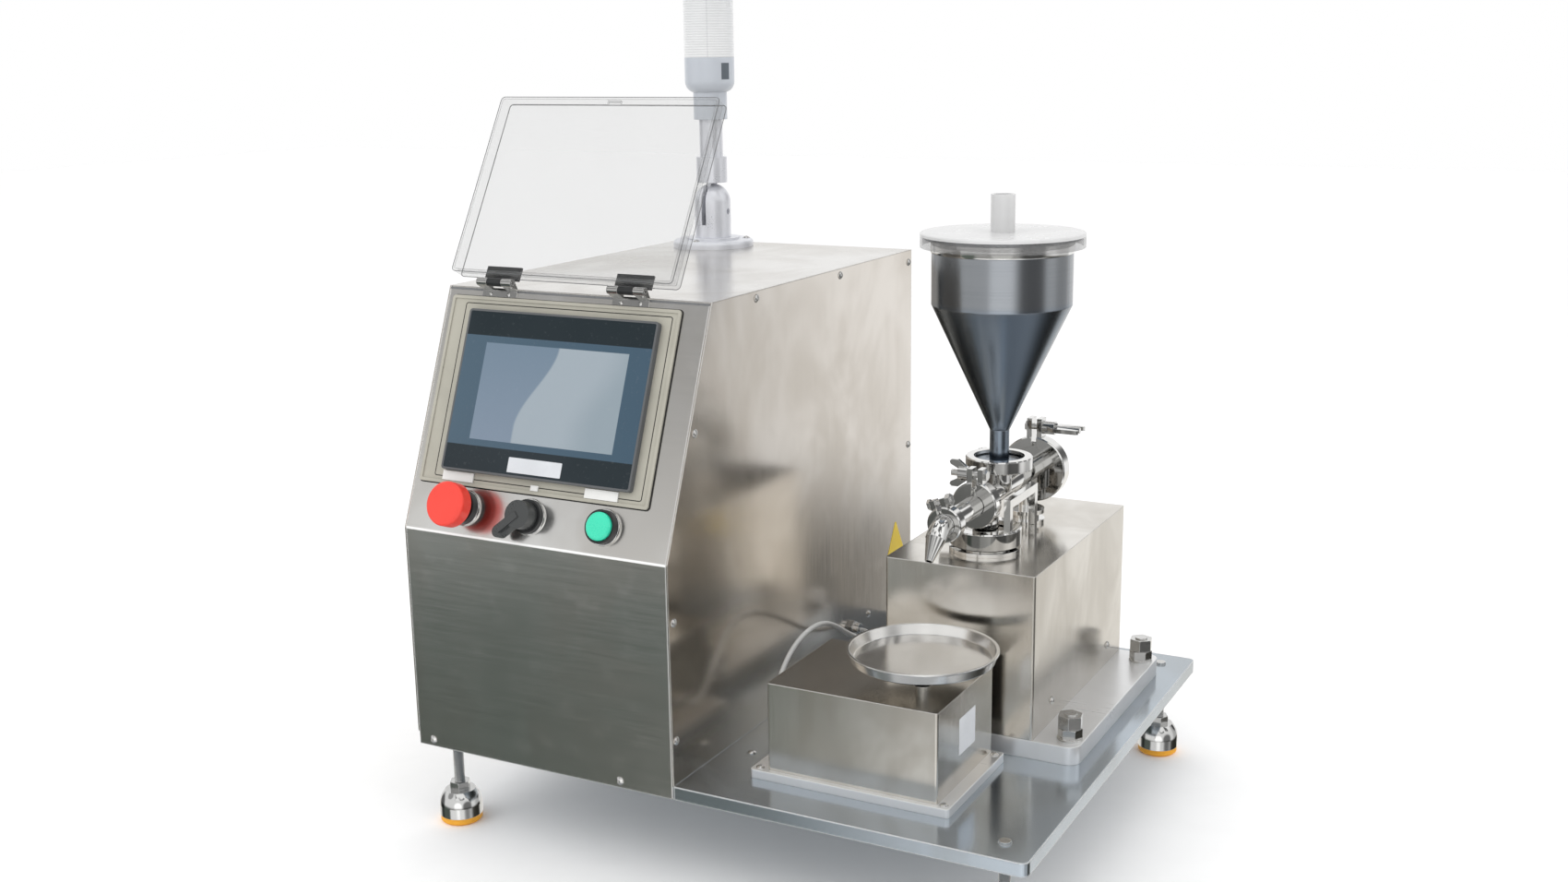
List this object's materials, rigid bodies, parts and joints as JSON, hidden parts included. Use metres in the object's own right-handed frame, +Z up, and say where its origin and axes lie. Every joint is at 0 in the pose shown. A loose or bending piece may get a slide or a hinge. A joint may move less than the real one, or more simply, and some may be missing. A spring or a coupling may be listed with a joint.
{
  "type": "piston liquid filler",
  "caption": "Benchtop piston liquid filler: a screen cabinet with clear lid and stack light, a weigher, and a hopper-fed pump over a drive box, on one footed plate.",
  "frame": {"origin": "on the floor under the middle of the machine's outer box, at the soles of the feet", "axes": "+X to the right as the operator faces the screen, +Y away from the operator, +Z up"},
  "size_m": [0.602, 0.5294, 0.783],
  "materials": {
    "brushed_sheet": "brushed stainless sheet",
    "steel_plate": "brushed stainless plate",
    "polished_steel": "polished stainless",
    "hopper_steel": "satin stainless, dark reflection",
    "aluminium_block": "milled",
    "frame_beige": "satin",
    "black_plastic": "matte",
    "screen_black": "gloss",
    "screen_glass": "dark glass over a display",
    "clear_acrylic": "clear",
    "clear_lens": "ribbed clear",
    "white_plastic": "translucent white",
    "red_plastic": "satin gloss",
    "green_plastic": "satin gloss",
    "grey_plastic": "moulded",
    "grey_paint": "satin",
    "orange_rubber": "matte",
    "cable_grey": "satin",
    "valve_white": "smooth"
  },
  "bodies": {
    "machine": {"base_plate": "steel_plate", "front_skin": "brushed_sheet", "top_panel": "brushed_sheet", "side_panel_left": "brushed_sheet", "side_panel_right": "brushed_sheet", "back_panel": "brushed_sheet", "button_screws": "polished_steel", "screen_frame": "frame_beige", "lid_catches": "white_plastic", "screen_housing": "screen_black", "screen_glass": "screen_glass", "hinge_leaves": "polished_steel", "hinge_pins": "polished_steel", "switch_collars": "black_plastic", "electrics": "grey_paint", "power_inlet": "black_plastic", "tower_flange": "grey_plastic", "tower_bracket": "grey_plastic", "foot_studs": "polished_steel", "foot_domes": "polished_steel", "foot_pads": "orange_rubber", "scale_plate": "aluminium_block", "scale_cover": "brushed_sheet", "load_cell": "aluminium_block", "scale_post": "polished_steel", "scale_dish": "polished_steel", "cable_glands": "black_plastic", "scale_cable": "cable_grey", "drive_plate": "aluminium_block", "drive_bolts": "polished_steel", "drive_housing": "brushed_sheet", "drive_frame": "aluminium_block", "drive_motor": "grey_paint", "pump_cylinder": "polished_steel", "pump_body": "polished_steel", "outlet_nozzle": "polished_steel", "pipe_clamps": "polished_steel", "clamp_bolts": "polished_steel", "pump_supports": "polished_steel", "hopper": "hopper_steel", "hopper_spout": "hopper_steel"},
    "lid": {"lid_leaves": "black_plastic", "control_lid": "clear_acrylic"},
    "stop_plunger": {"stop_stem": "black_plastic"},
    "stop_head": {"stop_cap": "red_plastic"},
    "selector": {"selector_knob": "black_plastic"},
    "start": {"start_button": "green_plastic"},
    "rocker": {"power_rocker": "red_plastic"},
    "tower": {"tower_collar": "grey_plastic", "tower_housing": "grey_plastic", "tower_lens": "clear_lens", "tower_core": "white_plastic"},
    "screw": {"drive_screw": "polished_steel"},
    "carriage": {"carriage": "aluminium_block", "piston": "valve_white"},
    "inlet_valve": {"inlet_poppet": "valve_white"},
    "outlet_valve": {"outlet_poppet": "valve_white"},
    "mid_wing": {"wing_nut_mid": "polished_steel"},
    "rear_wing": {"wing_nut_rear": "polished_steel"},
    "hopper_cover": {"hopper_lid": "white_plastic"}
  },
  "joints": [
    {"name": "lid_hinge", "type": "hinge", "parent": "machine", "child": "lid", "pos_m": [-0.1689, -0.16354, 0.50971], "axis": [1, 0, 0], "range_deg": [0, 188.32]},
    {"name": "stop_press", "type": "slide", "parent": "machine", "child": "stop_plunger", "axis": [0, 0.9292, -0.3695], "range_m": [0, 0.004], "stiffness_N_per_m": 900, "springref_m": -0.003},
    {"name": "stop_twist", "type": "hinge", "parent": "stop_plunger", "child": "stop_head", "pos_m": [-0.2354, -0.24783, 0.32316], "axis": [0, -0.9292, 0.3695], "range_deg": [0, 40], "stiffness_Nm_per_rad": 0.05, "springref_deg": -5.73},
    {"name": "selector_turn", "type": "hinge", "parent": "machine", "child": "selector", "pos_m": [-0.1649, -0.23854, 0.31946], "axis": [0, -0.9292, 0.3695], "range_deg": [0, 90]},
    {"name": "start_press", "type": "slide", "parent": "machine", "child": "start", "axis": [0, 0.9292, -0.3695], "range_m": [0, 0.003], "stiffness_N_per_m": 600, "springref_m": -0.003},
    {"name": "power_rock", "type": "hinge", "parent": "machine", "child": "rocker", "pos_m": [-0.2284, 0.2587, 0.146], "axis": [1, 0, 0], "range_deg": [-16, 0]},
    {"name": "tower_fold", "type": "hinge", "parent": "machine", "child": "tower", "pos_m": [-0.2339, 0.2137, 0.541], "axis": [1, 0, 0], "range_deg": [0, 90]},
    {"name": "carriage_slide", "type": "slide", "parent": "machine", "child": "carriage", "axis": [0, 0, 1], "range_m": [-0.03, 0]},
    {"name": "screw_spin", "type": "hinge", "parent": "machine", "child": "screw", "pos_m": [0.1651, 0.0817, 0.183], "axis": [0, 0, 1], "range_deg": [-1080, 0]},
    {"name": "inlet_valve_slide", "type": "slide", "parent": "machine", "child": "inlet_valve", "axis": [0, -1, 0], "range_m": [0, 0.004], "stiffness_N_per_m": 40, "springref_m": -0.003},
    {"name": "outlet_valve_slide", "type": "slide", "parent": "machine", "child": "outlet_valve", "axis": [0, -1, 0], "range_m": [0, 0.004], "stiffness_N_per_m": 40, "springref_m": -0.003},
    {"name": "mid_wing_spin", "type": "hinge", "parent": "machine", "child": "mid_wing", "pos_m": [0.1461, -0.0083, 0.3385], "axis": [1, 0, 0], "continuous": true},
    {"name": "rear_wing_spin", "type": "hinge", "parent": "machine", "child": "rear_wing", "pos_m": [0.1861, 0.1472, 0.351], "axis": [1, 0, 0], "continuous": true},
    {"name": "hopper_lid_lift", "type": "slide", "parent": "machine", "child": "hopper_cover", "axis": [0, 0, 1], "range_m": [0, 0.08]}
  ],
  "couplings": [
    {"joint": "screw_spin", "follows": "carriage_slide", "rad_per_m": 628.32}
  ]
}
